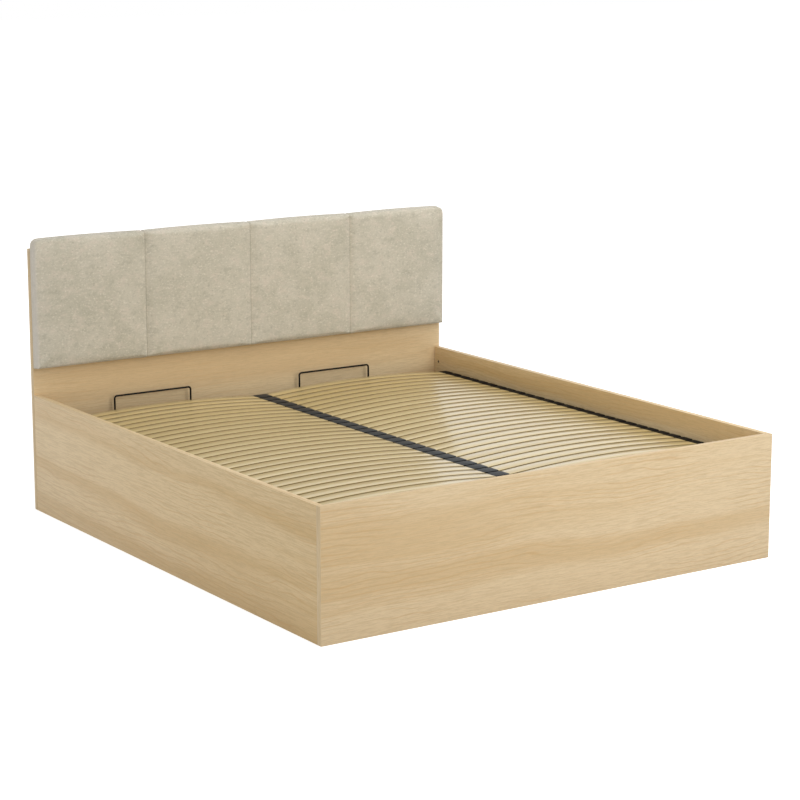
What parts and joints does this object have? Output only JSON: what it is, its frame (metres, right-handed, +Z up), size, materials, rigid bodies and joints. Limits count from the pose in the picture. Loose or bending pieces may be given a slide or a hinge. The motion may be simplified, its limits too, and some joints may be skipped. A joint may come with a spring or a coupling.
{
  "type": "ottoman bed",
  "caption": "Ottoman storage bed: wooden box with a padded headboard and a slatted base that tips up on hinges and gas struts.",
  "frame": {"origin": "middle of the bed's outline, on the floor", "axes": "+Y from the foot panel to the headboard, +X to the right seen from the foot, +Z up"},
  "size_m": [1.85, 2.057, 1.04],
  "materials": {
    "panel_wood": "light oak laminate, matt",
    "backing_cloth": "cloth wrapped over plywood",
    "cushion_fabric": "greige suede-like weave",
    "zinc_steel": "zinc plated",
    "dark_steel": "burnished dark",
    "beech_dowel": "bare beech",
    "pine": "planed pine",
    "fibreboard": "bare hardboard, fine fibres",
    "black_rubber": "matt",
    "frame_paint": "black powder coat",
    "black_plastic": "fine moulded grain",
    "grey_plastic": "fine moulded grain",
    "bush_nylon": "natural nylon",
    "slat_birch": "varnished birch plywood, semi-gloss",
    "retainer_paint": "black semi-gloss",
    "strut_paint": "black gloss",
    "strut_chrome": "polished"
  },
  "bodies": {
    "bed_box": {"foot_panel": "panel_wood", "left_side_panel": "panel_wood", "right_side_panel": "panel_wood", "headboard_panel": "panel_wood", "cushion_backing_board": "backing_cloth", "headboard_cushion": "cushion_fabric", "cushion_screws": "zinc_steel", "head_bolts": "zinc_steel", "foot_bracket_screws": "zinc_steel", "rest_cleat_screws": "zinc_steel", "foot_bracket_left": "zinc_steel", "foot_bracket_right": "zinc_steel", "hinge_pin_left": "zinc_steel", "hinge_pin_right": "zinc_steel", "hinge_nuts": "zinc_steel", "lower_strut_studs": "zinc_steel", "head_barrel_nuts": "dark_steel", "hinge_plate_screws": "dark_steel", "corner_dowels": "beech_dowel", "rest_cleat_left": "pine", "rest_cleat_right": "pine", "rest_cleat_foot": "pine", "floor_bearer_left": "pine", "floor_bearer_right": "pine", "floor_bearer_centre": "pine", "storage_floor_foot_left": "fibreboard", "storage_floor_foot_right": "fibreboard", "storage_floor_head_left": "fibreboard", "storage_floor_head_right": "fibreboard", "rest_buffers": "black_rubber", "hinge_plate_left": "frame_paint", "hinge_plate_right": "frame_paint"},
    "lift_base": {"frame_side_rail_left": "frame_paint", "frame_side_rail_right": "frame_paint", "frame_head_rail": "frame_paint", "frame_foot_rail": "frame_paint", "frame_centre_rail": "frame_paint", "frame_cross_rails": "frame_paint", "rail_end_plugs": "black_plastic", "hinge_bushes": "bush_nylon", "slats_left": "slat_birch", "slats_right": "slat_birch", "outer_slat_caps_left": "black_plastic", "outer_slat_caps_right": "black_plastic", "centre_slat_caps": "grey_plastic", "mattress_retainer_left": "retainer_paint", "mattress_retainer_right": "retainer_paint", "retainer_nuts": "zinc_steel", "upper_strut_brackets": "frame_paint"},
    "strut_tube_left": {"strut_cylinder_left": "strut_paint", "strut_guide_left": "black_plastic"},
    "strut_ram_left": {"strut_rod_left": "strut_chrome", "strut_rod_end_left": "zinc_steel"},
    "strut_tube_right": {"strut_cylinder_right": "strut_paint", "strut_guide_right": "black_plastic"},
    "strut_ram_right": {"strut_rod_right": "strut_chrome", "strut_rod_end_right": "zinc_steel"}
  },
  "joints": [
    {"name": "base_lift", "type": "hinge", "parent": "bed_box", "child": "lift_base", "pos_m": [0, 0.6765, 0.325], "axis": [-1, 0, 0], "range_deg": [0, 42]},
    {"name": "strut_tube_swing_left", "type": "hinge", "parent": "bed_box", "child": "strut_tube_left", "pos_m": [-0.882, 0.6045, 0.075], "axis": [-1, 0, 0], "range_deg": [0, 22.56]},
    {"name": "strut_ram_swing_left", "type": "hinge", "parent": "lift_base", "child": "strut_ram_left", "pos_m": [-0.882, 0.4005, 0.295], "axis": [-1, 0, 0], "range_deg": [-19.64, 0]},
    {"name": "strut_tube_swing_right", "type": "hinge", "parent": "bed_box", "child": "strut_tube_right", "pos_m": [0.882, 0.6045, 0.075], "axis": [-1, 0, 0], "range_deg": [0, 22.56]},
    {"name": "strut_ram_swing_right", "type": "hinge", "parent": "lift_base", "child": "strut_ram_right", "pos_m": [0.882, 0.4005, 0.295], "axis": [-1, 0, 0], "range_deg": [-19.64, 0]}
  ],
  "couplings": [
    {"joint": "strut_tube_swing_left", "follows": "base_lift", "ratio": 0.53479},
    {"joint": "strut_ram_swing_left", "follows": "base_lift", "ratio": -0.46521},
    {"joint": "strut_tube_swing_right", "follows": "base_lift", "ratio": 0.53479},
    {"joint": "strut_ram_swing_right", "follows": "base_lift", "ratio": -0.46521}
  ]
}
